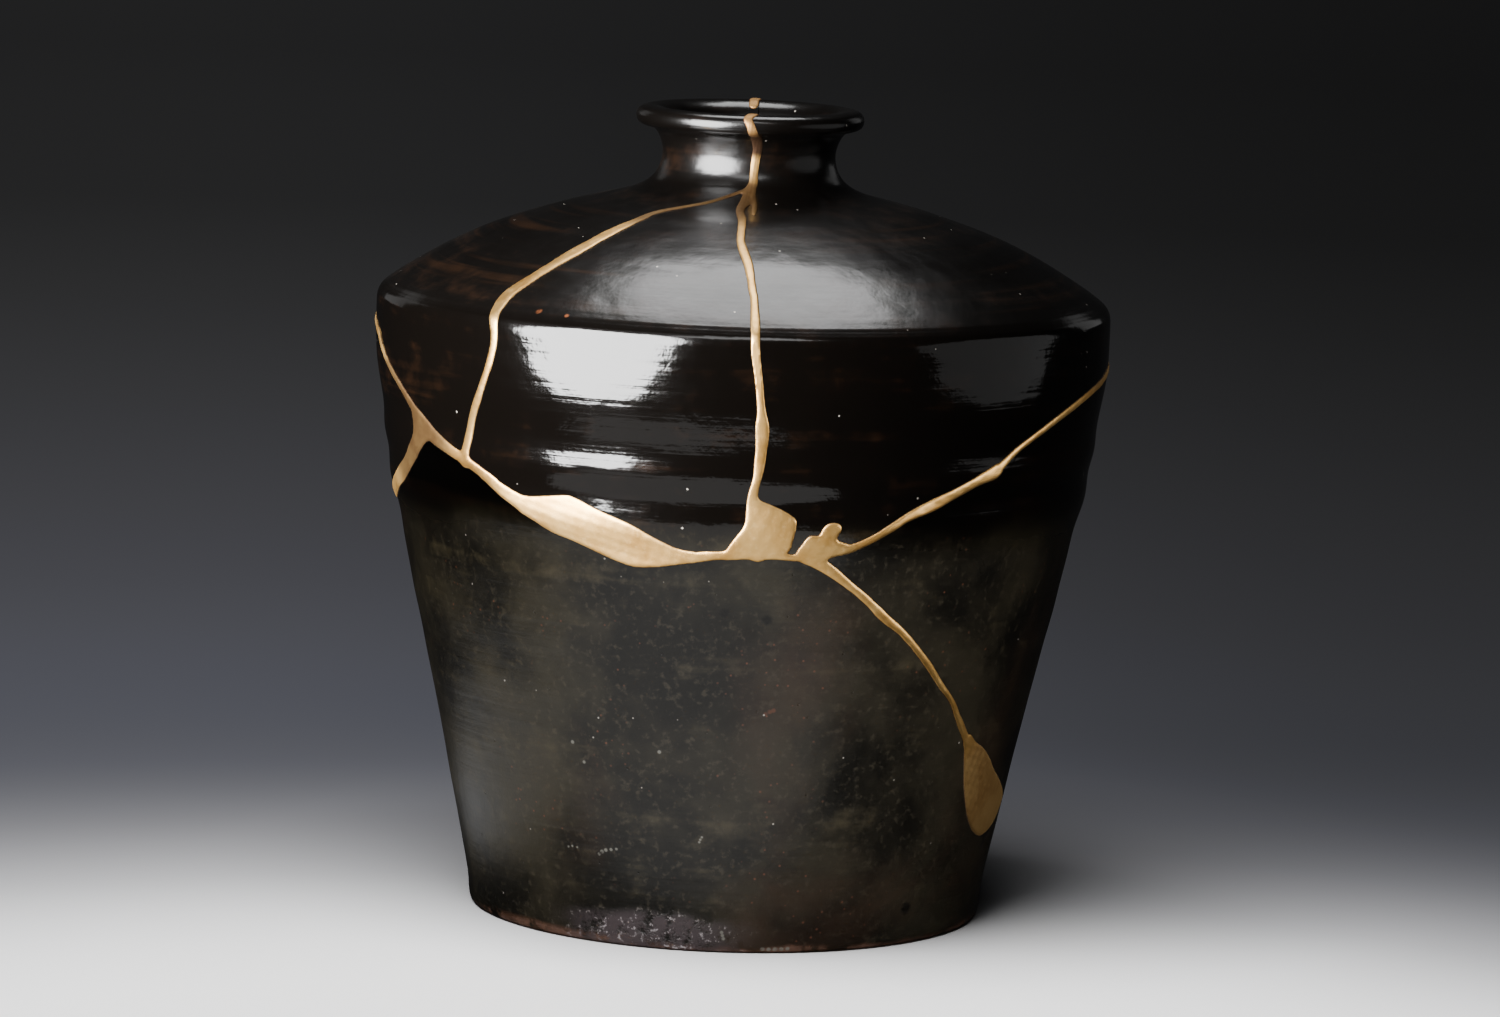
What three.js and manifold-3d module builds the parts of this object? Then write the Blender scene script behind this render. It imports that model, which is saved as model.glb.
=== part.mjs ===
// A broken stoneware jar put together again with gold lacquer.
// Millimetres, +Z up, origin under the middle of the foot, front of the jar towards -Y.
// Angles go round the jar in degrees: 0 is the front, positive towards +X.

import * as THREE from "three";
import { mergeVertices } from "three/addons/utils/BufferGeometryUtils.js";
import Module from "manifold-3d";

const wasm = await Module();
wasm.setup();

// The jar's sizes.
const FOOT_RADIUS = 89.4;
const FOOT_ROUND = 2.2;
const RIDGE_RADIUS = 127.4;
const RIDGE_HEIGHT = 216;
const RIDGE_ROUND = 7;
const SHOULDER_RISE = 33.5;
const NECK_FOOT_RADIUS = 45;
const NECK_RADIUS = 29.9;
const NECK_HEIGHT = 21;
const LIP_RADIUS = 39.6;
const LIP_THICKNESS = 9.5;
const LIP_ROUND = 2.5;
const WALL = 6.5;
const NECK_WALL = 5.5;
const THROAT_SPREAD = 2.5;
const FLOOR = 9;
const FLOOR_FILLET = 7;

// The joints between the sherds and the lacquer that fills them.
const JOINT_GAP = 0.3;
const CLEARANCE = 0.3;
const LACQUER_DEPTH = 1.2;
const LACQUER_CROWN = 0.7;
const SEAM_LAP = 0.8;
const SEAM_WIDTH = 4;

// How far a cutting shape stands clear of the skin that it opens.
const CHANNEL_OPEN = 3;
const JOINT_OPEN = 10;

// Half the chord of the outline that a surface is squared to: close for the skin,
// long for the joints through the wall.
const SKIN_REACH = 1;
const JOINT_REACH = 25;

// How finely the round forms are cut into facets.
const SIDES = 32;
const SEAM_STEP = 20;

// The thrown wall: share of its height, share of its flare.
const WALL_RINGS = [
  [0.11, 0.092], [0.33, 0.352], [0.55, 0.635], [0.74, 0.842], [0.87, 0.965], [0.94, 0.998],
];

// Heights that follow from the sizes.
const NECK_FOOT = RIDGE_HEIGHT + SHOULDER_RISE;
const LIP_FOOT = NECK_FOOT + NECK_HEIGHT;
const TOP = LIP_FOOT + LIP_THICKNESS;
const NECK_WAIST = NECK_FOOT + 0.7 * NECK_HEIGHT;
const THROAT_RADIUS = NECK_RADIUS - NECK_WALL;
const LIP_CREST = THROAT_RADIUS + 0.7 * (LIP_RADIUS - THROAT_RADIUS);
const LIP_UNDERSIDE = LIP_FOOT + 0.33 * LIP_THICKNESS;

const flat = (radius, height) => new THREE.Vector2(radius, height);

// The shoulder's dome, from the ridge in to the foot of the neck.
function shoulderCurve() {
  const reach = (RIDGE_RADIUS - NECK_FOOT_RADIUS) / 3;
  return new THREE.CubicBezierCurve(
    flat(RIDGE_RADIUS, RIDGE_HEIGHT),
    flat(RIDGE_RADIUS - reach, RIDGE_HEIGHT + 0.48 * SHOULDER_RISE),
    flat(NECK_FOOT_RADIUS + reach, NECK_FOOT - 0.2 * SHOULDER_RISE),
    flat(NECK_FOOT_RADIUS, NECK_FOOT),
  );
}

// The hollow sweep up to the waist of the neck.
function sweepCurve() {
  const reach = NECK_FOOT_RADIUS - NECK_RADIUS;
  return new THREE.CubicBezierCurve(
    flat(NECK_FOOT_RADIUS, NECK_FOOT),
    flat(NECK_FOOT_RADIUS - 0.55 * reach, NECK_FOOT + 0.12 * NECK_HEIGHT),
    flat(NECK_RADIUS, NECK_FOOT + 0.33 * NECK_HEIGHT),
    flat(NECK_RADIUS, NECK_WAIST),
  );
}

// The flare under the lip.
function flareCurve() {
  return new THREE.QuadraticBezierCurve(
    flat(NECK_RADIUS, NECK_WAIST),
    flat(NECK_RADIUS, LIP_FOOT),
    flat(LIP_RADIUS - LIP_ROUND, LIP_UNDERSIDE),
  );
}

// The rolled lip, from its underside over the top to the throat.
function lipCurve() {
  return new THREE.CubicBezierCurve(
    flat(LIP_RADIUS - LIP_ROUND, LIP_UNDERSIDE),
    flat(LIP_RADIUS + 0.6 * LIP_ROUND, LIP_UNDERSIDE + 0.17 * LIP_THICKNESS),
    flat(LIP_RADIUS, TOP),
    flat(LIP_CREST, TOP),
  );
}

function throatCurve() {
  return new THREE.QuadraticBezierCurve(
    flat(LIP_CREST, TOP),
    flat(THROAT_RADIUS, TOP),
    flat(THROAT_RADIUS, LIP_FOOT),
  );
}

// The wall from the foot's rounded edge up to just under the ridge.
function wallPoints() {
  const flare = RIDGE_RADIUS - FOOT_RADIUS;
  const edge = new THREE.QuadraticBezierCurve(
    flat(FOOT_RADIUS - FOOT_ROUND, 0),
    flat(FOOT_RADIUS, 0),
    flat(FOOT_RADIUS, FOOT_ROUND),
  );
  const rings = WALL_RINGS.map(([up, out]) => flat(FOOT_RADIUS + flare * out, RIDGE_HEIGHT * up));
  return [...edge.getPoints(2), ...rings];
}

// The ridge's corner, rounded between the wall and the dome.
function ridgePoints(dome) {
  const start = flat(RIDGE_RADIUS, RIDGE_HEIGHT - RIDGE_ROUND);
  const end = dome.getPointAt(RIDGE_ROUND / dome.getLength());
  return new THREE.QuadraticBezierCurve(start, flat(RIDGE_RADIUS, RIDGE_HEIGHT), end).getPoints(3);
}

// The outside of the jar as one line from the foot, over the lip and down into the throat.
// Each zone's end is kept as its length along that line.
function drawOutline() {
  const dome = shoulderCurve();
  const ridge = ridgePoints(dome);
  const domePoints = [0.36, 0.68, 1].map((share) => dome.getPointAt(share));
  const zones = [
    [...wallPoints(), ...ridge.slice(0, 2)],
    [...ridge.slice(2), ...domePoints],
    [...sweepCurve().getPoints(3), ...flareCurve().getPoints(2), ...lipCurve().getPoints(3)],
    throatCurve().getPoints(2),
  ];
  const line = [];
  const lengths = [];
  const ends = [];
  for (const zone of zones) {
    for (const point of zone) {
      const last = line[line.length - 1];
      const step = last ? last.distanceTo(point) : 0;
      if (last && step < 1e-6) continue;
      lengths.push((lengths[lengths.length - 1] ?? 0) + step);
      line.push(point);
    }
    ends.push(lengths[lengths.length - 1]);
  }
  return { line, lengths, ends };
}

const outline = drawOutline();

// The point at a length along the outline, run on straight past either end.
function outlinePoint(length) {
  const { line, lengths } = outline;
  let i = lengths.findIndex((value) => value > length) - 1;
  if (i < 0) i = length <= 0 ? 0 : line.length - 2;
  const share = (length - lengths[i]) / (lengths[i + 1] - lengths[i]);
  return line[i].clone().lerp(line[i + 1], share);
}

// The outward direction, square to a chord of the outline.
function outlineNormal(length, reach) {
  const low = Math.max(length - reach, 0);
  const high = reach > SKIN_REACH ? Math.min(length + reach, outline.ends[2]) : length + reach;
  const along = outlinePoint(high).sub(outlinePoint(low)).normalize();
  return flat(along.y, -along.x);
}

// The length along the outline at which it first reaches a height.
function lengthAt(height) {
  const { line, lengths } = outline;
  const i = line.findIndex((point) => point.y >= height);
  const share = (height - line[i - 1].y) / (line[i].y - line[i - 1].y);
  return lengths[i - 1] + share * (lengths[i] - lengths[i - 1]);
}

// Places on the outline, as shares of each zone.
const inZone = (zone, share) => {
  const start = zone ? outline.ends[zone - 1] : 0;
  return start + share * (outline.ends[zone] - start);
};
const wall = (share) => inZone(0, share);
const shoulder = (share) => inZone(1, share);
const neck = (share) => inZone(2, share);
const throat = (share) => inZone(3, share);

// Where seams meet: degrees round the jar, place on the outline.
const FORK = [2, neck(0.26)];
const CENTRE_MEET = [3.8, wall(0.66)];
const CRACK_START = [12.8, wall(0.664)];
const LEFT_MEET = [-48.2, wall(0.776)];
const WEB = [-59.5, wall(0.81)];
const SIDE_MEET = [-150, wall(0.955)];
const LEFT_TURN = [-100, wall(0.966)];
const RIGHT_TURN = [100, wall(0.918)];
const BACK_MEET = [163, wall(0.93)];

// A place on the left, counted on past the back instead of from the front.
const pastBack = ([degrees, place]) => [degrees + 360, place];

// The seams: degrees round the jar, place on the outline, share of the seams' usual width.
const SEAMS = {
  longFront: [
    [...LEFT_TURN, 1.05], [-79, wall(0.944), 1.1], [-66.5, wall(0.868), 1.05], [...WEB, 1.65],
    [...LEFT_MEET, 1.07], [-37, wall(0.724), 1.5], [-22, wall(0.685), 2], [-8.5, wall(0.656), 1.25],
    [...CENTRE_MEET, 1], [...CRACK_START, 1.15], [19, wall(0.677), 0.9], [32.5, wall(0.741), 1.05],
    [44, wall(0.787), 1.15], [50, wall(0.824), 0.8], [62, wall(0.87), 0.95], [...RIGHT_TURN, 1],
  ],
  longBack: [
    [...RIGHT_TURN, 1], [128, wall(0.935), 0.9], [...BACK_MEET, 1.1], [186, wall(0.915), 1],
    [...pastBack(SIDE_MEET), 1.05], [235, wall(0.958), 0.95], [...pastBack(LEFT_TURN), 1.05],
  ],
  centre: [
    [3, throat(0.9), 0.85], [3, throat(0.45), 0.85], [1, neck(1), 0.9], [-0.5, neck(0.9), 0.8],
    [1.5, neck(0.8), 0.8], [5.2, neck(0.63), 0.875], [4.4, neck(0.45), 0.8], [...FORK, 0.95],
    [-1.9, shoulder(0.97), 0.9], [-1.3, shoulder(0.8), 0.8], [0, shoulder(0.55), 0.875],
    [1.6, shoulder(0.3), 0.775], [2.1, shoulder(0.03), 0.85], [2.2, wall(0.97), 0.8],
    [3.4, wall(0.87), 1.15], [2.8, wall(0.775), 0.825], [...CENTRE_MEET, 1.5],
  ],
  leftShoulder: [
    [...FORK, 0.6], [-14.7, neck(0.09), 0.75], [-30.5, shoulder(0.915), 0.95],
    [-36.4, shoulder(0.68), 1.6], [-39, shoulder(0.43), 1.5], [-42, shoulder(0.16), 1.4],
    [-41.6, shoulder(0.03), 1.25], [-40.5, wall(0.965), 0.85], [-43.1, wall(0.891), 0.8],
    [...LEFT_MEET, 1.1],
  ],
  back: [
    [178, throat(0.9), 0.9], [178, throat(0.45), 0.9], [177, neck(1), 1], [175, neck(0.9), 0.9],
    [174, neck(0.8), 0.85], [173, neck(0.63), 0.8], [172, neck(0.45), 0.8], [174, neck(0.2), 0.9],
    [169, shoulder(0.62), 0.9], [170, shoulder(0.3), 0.85], [166, shoulder(0.03), 0.95],
    [...BACK_MEET, 1.05],
  ],
  sideBranch: [
    [...WEB, 1.62], [-67, wall(0.75), 1.5], [-84, wall(0.677), 1.25], [-100, wall(0.657), 1],
    [-122, wall(0.695), 0.95], [-139, wall(0.8), 1], [...SIDE_MEET, 1],
  ],
  crack: [
    [...CRACK_START, 1.35], [22.4, wall(0.594), 0.825], [37.5, wall(0.476), 0.725],
    [44.9, wall(0.413), 0.675], [53.2, wall(0.33), 1.5], [60, wall(0.265), 2],
  ],
};

// The seams that part the jar right through its wall. The crack doesn't.
const THROUGH_SEAMS = ["longFront", "longBack", "centre", "leftShoulder", "back", "sideBranch"];

// Patches of lacquer where a piece of the jar is lost, drawn as seams are.
const PATCHES = {
  longPatch: [
    [-36.5, wall(0.72), 1.25], [-32.5, wall(0.71), 2.5], [-26, wall(0.702), 4.12],
    [-18, wall(0.673), 3.88], [-9, wall(0.656), 1.35],
  ],
  cornerPatch: [
    [3.2, wall(0.76), 1.25], [5.2, wall(0.72), 3.75], [4.6, wall(0.69), 4.88],
    [4, wall(0.66), 5.25],
  ],
  knob: [[14, wall(0.668), 4.25], [14, wall(0.69), 2.88], [15.4, wall(0.716), 1]],
  leaf: [
    [53.2, wall(0.33), 1.62], [57.9, wall(0.284), 4], [64.3, wall(0.231), 5.35],
    [71.5, wall(0.204), 5.3], [76.5, wall(0.194), 3.62], [78.6, wall(0.188), 1],
  ],
};

const turn = (degrees) => THREE.MathUtils.degToRad(degrees);

// A flat vector of the outline's plane, turned to its place round the jar.
function around(degrees, vector) {
  const angle = turn(degrees);
  return new THREE.Vector3(vector.x * Math.sin(angle), -vector.x * Math.cos(angle), vector.y);
}

// The point over the jar's skin at a place on it.
function skinPoint(degrees, length, lift) {
  return around(degrees, outlinePoint(length).addScaledVector(outlineNormal(length, SKIN_REACH), lift));
}

// A smooth run through a seam's waypoints, with more points between those that lie far apart.
function seamRun(waypoints) {
  const curve = new THREE.CatmullRomCurve3(waypoints.map((point) => new THREE.Vector3(...point)));
  const onSkin = waypoints.map(([degrees, length]) => skinPoint(degrees, length, 0));
  const run = [];
  for (let i = 1; i < waypoints.length; i++) {
    const parts = Math.ceil(onSkin[i].distanceTo(onSkin[i - 1]) / SEAM_STEP);
    for (let k = 0; k < parts; k++) {
      run.push(curve.getPoint((i - 1 + k / parts) / (waypoints.length - 1)));
    }
  }
  run.push(curve.getPoint(1));
  return run;
}

// The stations of a seam, with the frame that a strip needs at each.
function seamStations(waypoints) {
  const stations = seamRun(waypoints);
  const points = stations.map((point) => skinPoint(point.x, point.y, 0));
  return stations.map((station, i) => {
    const before = points[Math.max(i - 1, 0)];
    const after = points[Math.min(i + 1, points.length - 1)];
    const along = after.clone().sub(before).normalize();
    const out = around(station.x, outlineNormal(station.y, SKIN_REACH));
    const up = around(station.x, outlineNormal(station.y, SKIN_REACH).rotateAround(flat(0, 0), Math.PI / 2));
    const east = around(station.x + 90, flat(1, 0));
    const across = out.clone().cross(along).normalize();
    const end = i === 0 ? -1 : Number(i === points.length - 1);
    const width = station.z * SEAM_WIDTH;
    return { degrees: station.x, length: station.y, width, along, across, up, east, end };
  });
}

// The place on the skin at a distance aside of a station, and past it by a lap at a seam's ends.
function beside(station, aside, lap) {
  const shift = station.across.clone().multiplyScalar(aside);
  shift.addScaledVector(station.along, station.end * lap);
  const radius = outlinePoint(station.length).x;
  const degrees = station.degrees + THREE.MathUtils.radToDeg(shift.dot(station.east) / radius);
  return { degrees, length: station.length + shift.dot(station.up) };
}

// Splits a box's -X and -Y sides along the same diagonals as the sides opposite,
// so that a thin strip keeps its thickness where it twists.
function alignDiagonals(box) {
  const index = box.getIndex();
  for (const side of [1, 3]) {
    const { start, count } = box.groups[side];
    for (let i = start; i < start + count; i += 6) {
      index.setX(i + 2, index.getX(i + 4));
      index.setX(i + 3, index.getX(i));
    }
  }
}

// A box with a row of vertices at each station, each vertex moved by place(station, side, top).
function strip(stations, place) {
  const box = new THREE.BoxGeometry(1, 1, 1, 1, 1, stations.length - 1);
  alignDiagonals(box);
  const position = box.getAttribute("position");
  for (let i = 0; i < position.count; i++) {
    const row = Math.round((position.getZ(i) + 0.5) * (stations.length - 1));
    const point = place(stations[row], position.getX(i) * 2, position.getY(i) > 0);
    position.setXYZ(i, point.x, point.y, point.z);
  }
  return toSolid(box);
}

// The lacquer in a seam or patch, or with a clearance the channel that it lies in.
function lacquerStrip(waypoints, clearance) {
  return strip(seamStations(waypoints), (station, side, top) => {
    const spot = beside(station, side * (station.width / 2 + clearance), SEAM_LAP + clearance);
    const lift = top ? LACQUER_CROWN + (clearance ? CHANNEL_OPEN : 0) : -LACQUER_DEPTH - clearance;
    return skinPoint(spot.degrees, spot.length, lift);
  });
}

// All the lacquer, or all the channels, in one solid.
function lacquer(clearance) {
  const runs = [...Object.values(SEAMS), ...Object.values(PATCHES)];
  return joined(runs.map((waypoints) => lacquerStrip(waypoints, clearance)));
}

// The thin gap that parts two sherds through the wall, square to the jar's general run.
function jointSheet(waypoints) {
  const [, neckFoot, lipTop] = outline.ends;
  const stations = seamStations(waypoints.filter(([, place]) => place <= lipTop));
  return strip(stations, (station, side, top) => {
    const spot = beside(station, side * JOINT_GAP / 2, SEAM_LAP);
    const length = Math.min(spot.length, lipTop);
    const point = outlinePoint(length).add(flat(0, spot.length > length ? JOINT_OPEN : 0));
    const through = length > neckFoot ? point.x - THROAT_RADIUS / 2 : 3 * WALL;
    const out = outlineNormal(length, JOINT_REACH);
    return around(spot.degrees, point.addScaledVector(out, top ? JOINT_OPEN : -through));
  });
}

// A closed three.js geometry as a solid, and back.
function toSolid(geometry) {
  for (const name of ["normal", "uv"]) geometry.deleteAttribute(name);
  const merged = mergeVertices(geometry, 1e-5);
  const index = merged.getIndex().array;
  const triangles = [];
  for (let i = 0; i < index.length; i += 3) {
    const [a, b, c] = index.subarray(i, i + 3);
    if (a !== b && b !== c && a !== c) triangles.push(a, b, c);
  }
  return new wasm.Manifold(new wasm.Mesh({
    numProp: 3,
    vertProperties: new Float32Array(merged.getAttribute("position").array),
    triVerts: new Uint32Array(triangles),
  }));
}

function toGeometry(solid) {
  const mesh = solid.getMesh();
  const geometry = new THREE.BufferGeometry();
  geometry.setAttribute("position", new THREE.BufferAttribute(mesh.vertProperties, 3));
  geometry.setIndex(new THREE.BufferAttribute(mesh.triVerts, 1));
  geometry.computeVertexNormals();
  return geometry;
}

const joined = (solids) => solids.reduce((whole, solid) => whole.add(solid));

// The whole jar before it broke: one turned wall, open at the mouth, over a flat floor.
function wholeJar() {
  const inset = (length, thickness) =>
    outlinePoint(length).addScaledVector(outlineNormal(length, RIDGE_ROUND), -thickness);
  const inside = [
    ...[0.65, 0.25].map((share) => inset(shoulder(share), WALL)),
    ...[0.95, 0.7, 0.35].map((share) => inset(wall(share), WALL)),
  ];
  const corner = inset(lengthAt(FLOOR + FLOOR_FILLET), WALL);
  const profile = [
    flat(0, 0),
    ...outline.line,
    flat(THROAT_RADIUS, NECK_FOOT + 0.5 * NECK_HEIGHT),
    flat(THROAT_RADIUS + THROAT_SPREAD, NECK_FOOT),
    ...inside,
    corner,
    flat(corner.x - FLOOR_FILLET, FLOOR),
    flat(0, FLOOR),
  ];
  const turned = new THREE.LatheGeometry(profile, SIDES);
  turned.rotateX(Math.PI / 2);
  return toSolid(turned);
}

const glaze = new THREE.MeshStandardMaterial({ color: 0x17130f, roughness: 0.15, metalness: 0 });
const gold = new THREE.MeshStandardMaterial({ color: 0xc9a06b, roughness: 0.35, metalness: 0.8 });

const jar = new THREE.Group();

function addMesh(name, solid, material) {
  const mesh = new THREE.Mesh(toGeometry(solid), material);
  mesh.name = name;
  jar.add(mesh);
}

// A point inside the wall of each sherd: degrees round the jar, place on the outline.
const SHERDS = {
  front_sherd: [-20, shoulder(0.4)],
  left_shoulder_sherd: [-100, shoulder(0.4)],
  right_shoulder_sherd: [80, shoulder(0.4)],
  left_side_sherd: [-100, wall(0.8)],
  body_sherd: [0, wall(0.4)],
};

// A small peg through the wall at a place, to find the sherd there.
function peg([degrees, length]) {
  const peg = new THREE.BoxGeometry(1, 1, 1);
  const middle = skinPoint(degrees, length, -WALL / 2);
  peg.translate(middle.x, middle.y, middle.z);
  return toSolid(peg);
}

const joints = joined(THROUGH_SEAMS.map((name) => jointSheet(SEAMS[name])));
const pieces = wholeJar().subtract(lacquer(CLEARANCE).add(joints)).decompose();

for (const [name, place] of Object.entries(SHERDS)) {
  const mark = peg(place);
  addMesh(name, pieces.find((piece) => piece.intersect(mark).volume() > 0), glaze);
}
addMesh("gold_lacquer", lacquer(0), gold);

export default jar;
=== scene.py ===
# A dark glazed stoneware jar, broken and put together again with gold lacquer.
# Sizes are in millimetres round the jar's axis and become metres where a mesh is made.
# Angles go round the jar in degrees: 0 is the front, towards -Y, and positive is towards +X.

import math

import bpy
import numpy as np
from mathutils import Matrix, Vector


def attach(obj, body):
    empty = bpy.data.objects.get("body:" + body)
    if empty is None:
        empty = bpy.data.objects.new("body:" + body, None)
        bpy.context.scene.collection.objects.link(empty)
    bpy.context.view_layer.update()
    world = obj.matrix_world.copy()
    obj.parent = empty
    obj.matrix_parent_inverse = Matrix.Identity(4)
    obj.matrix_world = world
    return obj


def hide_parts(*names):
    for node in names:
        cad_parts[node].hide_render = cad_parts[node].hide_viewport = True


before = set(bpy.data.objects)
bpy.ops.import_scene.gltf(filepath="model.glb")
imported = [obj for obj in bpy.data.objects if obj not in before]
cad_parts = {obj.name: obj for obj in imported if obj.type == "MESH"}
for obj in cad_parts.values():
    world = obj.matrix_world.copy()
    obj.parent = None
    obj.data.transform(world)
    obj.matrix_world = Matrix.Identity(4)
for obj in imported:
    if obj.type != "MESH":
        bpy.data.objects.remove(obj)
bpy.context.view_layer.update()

MM = 0.001


# The shader helper.


class Tone:
    """A value in a material's nodes. Python's operators on it add Math nodes."""

    def __init__(self, paint, socket):
        self.paint, self.socket = paint, socket

    def sum(self, operation, *values):
        return self.paint.node("ShaderNodeMath", {"operation": operation}, dict(enumerate(values)))

    def __add__(self, other):
        return self.sum("ADD", self, other)

    def __mul__(self, other):
        return self.sum("MULTIPLY", self, other)

    def __sub__(self, other):
        return self.sum("SUBTRACT", self, other)

    def __rsub__(self, other):
        return self.sum("SUBTRACT", other, self)

    def __truediv__(self, other):
        return self.sum("DIVIDE", self, other)

    __radd__, __rmul__ = __add__, __mul__

    def most(self, other):
        return self.sum("MAXIMUM", self, other)

    def step(self, low, high):
        """0 below low and 1 above high, eased between them; high may be the lower one."""
        if low > high:
            return 1 - self.step(high, low)
        settings = {"interpolation_type": "SMOOTHSTEP"}
        return self.paint.node(
            "ShaderNodeMapRange", settings, {"Value": self, "From Min": low, "From Max": high}
        )


class Paint:
    """The nodes of one material."""

    def __init__(self, name):
        self.material = bpy.data.materials.new(name)
        self.material.use_nodes = True
        self.tree = self.material.node_tree
        self.tree.nodes.clear()
        self.place = self.node("ShaderNodeTexCoord", {}, {}, "Object")
        self.x, self.y, self.z = self.parts(self.place)

    def node(self, kind, settings, inputs, output=0):
        node = self.tree.nodes.new(kind)
        for name, value in settings.items():
            if name == "stops":
                self.stops(node.color_ramp, value)
            else:
                setattr(node, name, value)
        for name, value in inputs.items():
            if isinstance(value, Tone):
                self.tree.links.new(value.socket, node.inputs[name])
            else:
                node.inputs[name].default_value = value
        return Tone(self, node.outputs[output])

    def stops(self, ramp, stops):
        while len(ramp.elements) < len(stops):
            ramp.elements.new(1)
        for element, (position, colour) in zip(ramp.elements, stops):
            element.position = position
            element.color = (*colour, 1)

    def parts(self, vector):
        split = self.node("ShaderNodeSeparateXYZ", {}, {"Vector": vector}).socket.node
        return [Tone(self, output) for output in split.outputs]

    def scaled(self, x, y, z):
        settings = {"operation": "MULTIPLY"}
        return self.node("ShaderNodeVectorMath", settings, {0: self.place, 1: (x, y, z)})

    def noise(self, scale, detail=3, rough=0.5, warp=0, where=None):
        inputs = {"Vector": where or self.place, "Scale": scale, "Detail": detail}
        inputs.update({"Roughness": rough, "Distortion": warp})
        return self.node("ShaderNodeTexNoise", {}, inputs)

    def specks(self, scale, spread):
        """Scattered dots: 1 in the middle of some cells, 0 between them."""
        inputs = {"Vector": self.place, "Scale": scale, "Randomness": 1}
        far = self.node("ShaderNodeTexVoronoi", {}, inputs, "Distance")
        return far.step(spread, spread * 0.45)

    def far(self, spot):
        """The distance from a spot, in metres."""
        settings = {"operation": "DISTANCE"}
        return self.node("ShaderNodeVectorMath", settings, {0: self.place, 1: spot}, "Value")

    def near(self, degrees, height, reach, fade):
        """1 at a place on the jar's skin, fading to 0 at a reach in millimetres."""
        far = self.far([value * MM for value in skin(degrees, up_to(height), 0)])
        return far.step(reach * MM, reach * MM * (1 - fade))

    def mix(self, share, one, other):
        one, other = [(*c, 1) if isinstance(c, tuple) else c for c in (one, other)]
        inputs = {"Factor": share, 6: one, 7: other}
        return self.node("ShaderNodeMix", {"data_type": "RGBA"}, inputs, 2)

    def bump(self, height, distance, under=None):
        inputs = {"Height": height, "Distance": distance * MM, "Strength": 1.0}
        if under:
            inputs["Normal"] = under
        return self.node("ShaderNodeBump", {}, inputs)

    def finish(self, **sockets):
        inputs = {name.replace("_", " "): value for name, value in sockets.items()}
        shader = self.node("ShaderNodeBsdfPrincipled", {}, inputs)
        output = self.tree.nodes.new("ShaderNodeOutputMaterial")
        self.tree.links.new(shader.socket, output.inputs["Surface"])
        return self.material


# The jar's outline.

FLOOR = 9
WALL = 6.5
WIDEST = 127.4
# The underside, from its middle outwards: height, radius.
UNDERSIDE = [(0, 0), (0, 45), (0, 80)]

# The wall as thrown: height, radius.
WALL_POINTS = [
    (0, 87.2), (0.7, 88.7), (2.4, 89.4), (10, 90.2), (23.8, 92.9), (47.5, 97.8), (71.3, 102.8),
    (95, 108.2), (118.8, 113.5), (140, 117.7), (159.8, 121.4), (175, 124.1), (187.9, 126.0),
    (197, 126.95), (203, 127.25), (208.5, 127.35),
]

# The swells that the thrower's fingers left: height, rise, spread.
SWELLS = [
    (190, 0.5, 7), (165.5, 1.05, 4.4), (149.5, 1.5, 6), (128, 0.34, 6), (109, 0.26, 7),
    (88, 0.16, 7), (66, 0.16, 8), (44, 0.12, 8), (27, 0.1, 6),
]

# From the ridge over the shoulder's dome to the foot of the neck.
SHOULDER_POINTS = [
    (212.2, 127.1), (215, 125.6), (218, 121.8), (220.6, 117.9), (223.4, 113.4), (226.4, 108.4),
    (229.5, 102.9), (232.6, 96.8), (235.2, 91.1), (237.8, 84.5), (240.4, 77.2), (243, 69.2),
    (245.7, 60.4), (248.2, 50.4), (250.2, 42.6),
]
NECK_POINTS = [
    (252, 37.9), (254, 34.6), (256, 32.6), (258, 31.3), (260, 30.5), (262.2, 30.05),
    (264.4, 29.95), (266.5, 30.3), (268.6, 31.0), (270.6, 32.0), (272.0, 33.2), (272.8, 35.0),
    (273.2, 37.0), (274.2, 38.8), (276.2, 39.5), (278.1, 39.1), (279.4, 37.7), (280, 35.2),
]
THROAT_POINTS = [
    (279.7, 32), (278.3, 29), (275.6, 26.6), (271.5, 24.9), (266, 24.4), (260, 24.5), (254, 25.6),
]


def curve(a, b, c, d, u):
    """The smooth curve between b and c, at the shares u of the way."""
    bend = (2 * a - 5 * b + 4 * c - d) * u * u + (3 * b - a - 3 * c + d) * u**3
    return 0.5 * (2 * b + (c - a) * u + bend)


def smooth_line(points, spacing):
    """A smooth line through the points, stepped evenly along its length."""
    points = np.array(points, float)
    ends = [2 * points[0] - points[1], *points, 2 * points[-1] - points[-2]]
    dense = []
    for a, b, c, d in zip(ends, ends[1:], ends[2:], ends[3:]):
        dense.append(curve(a, b, c, d, np.linspace(0, 1, 24, endpoint=False)[:, None]))
    dense = np.concatenate([*dense, [points[-1]]])
    run = np.concatenate([[0], np.cumsum(np.hypot(*np.diff(dense, axis=0).T[:2]))])
    steps = np.linspace(0, run[-1], int(run[-1] / spacing) + 2)
    return np.stack([np.interp(steps, run, column) for column in dense.T], axis=1)


def thrown(line):
    """The line with the thrower's swells on the wall."""
    line = line.copy()
    for height, rise, spread in SWELLS:
        line[:, 1] += rise * np.exp(-(((line[:, 0] - height) / spread) ** 2) / 2)
    line[:, 1] = np.minimum(line[:, 1], WIDEST)
    return line


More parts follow.
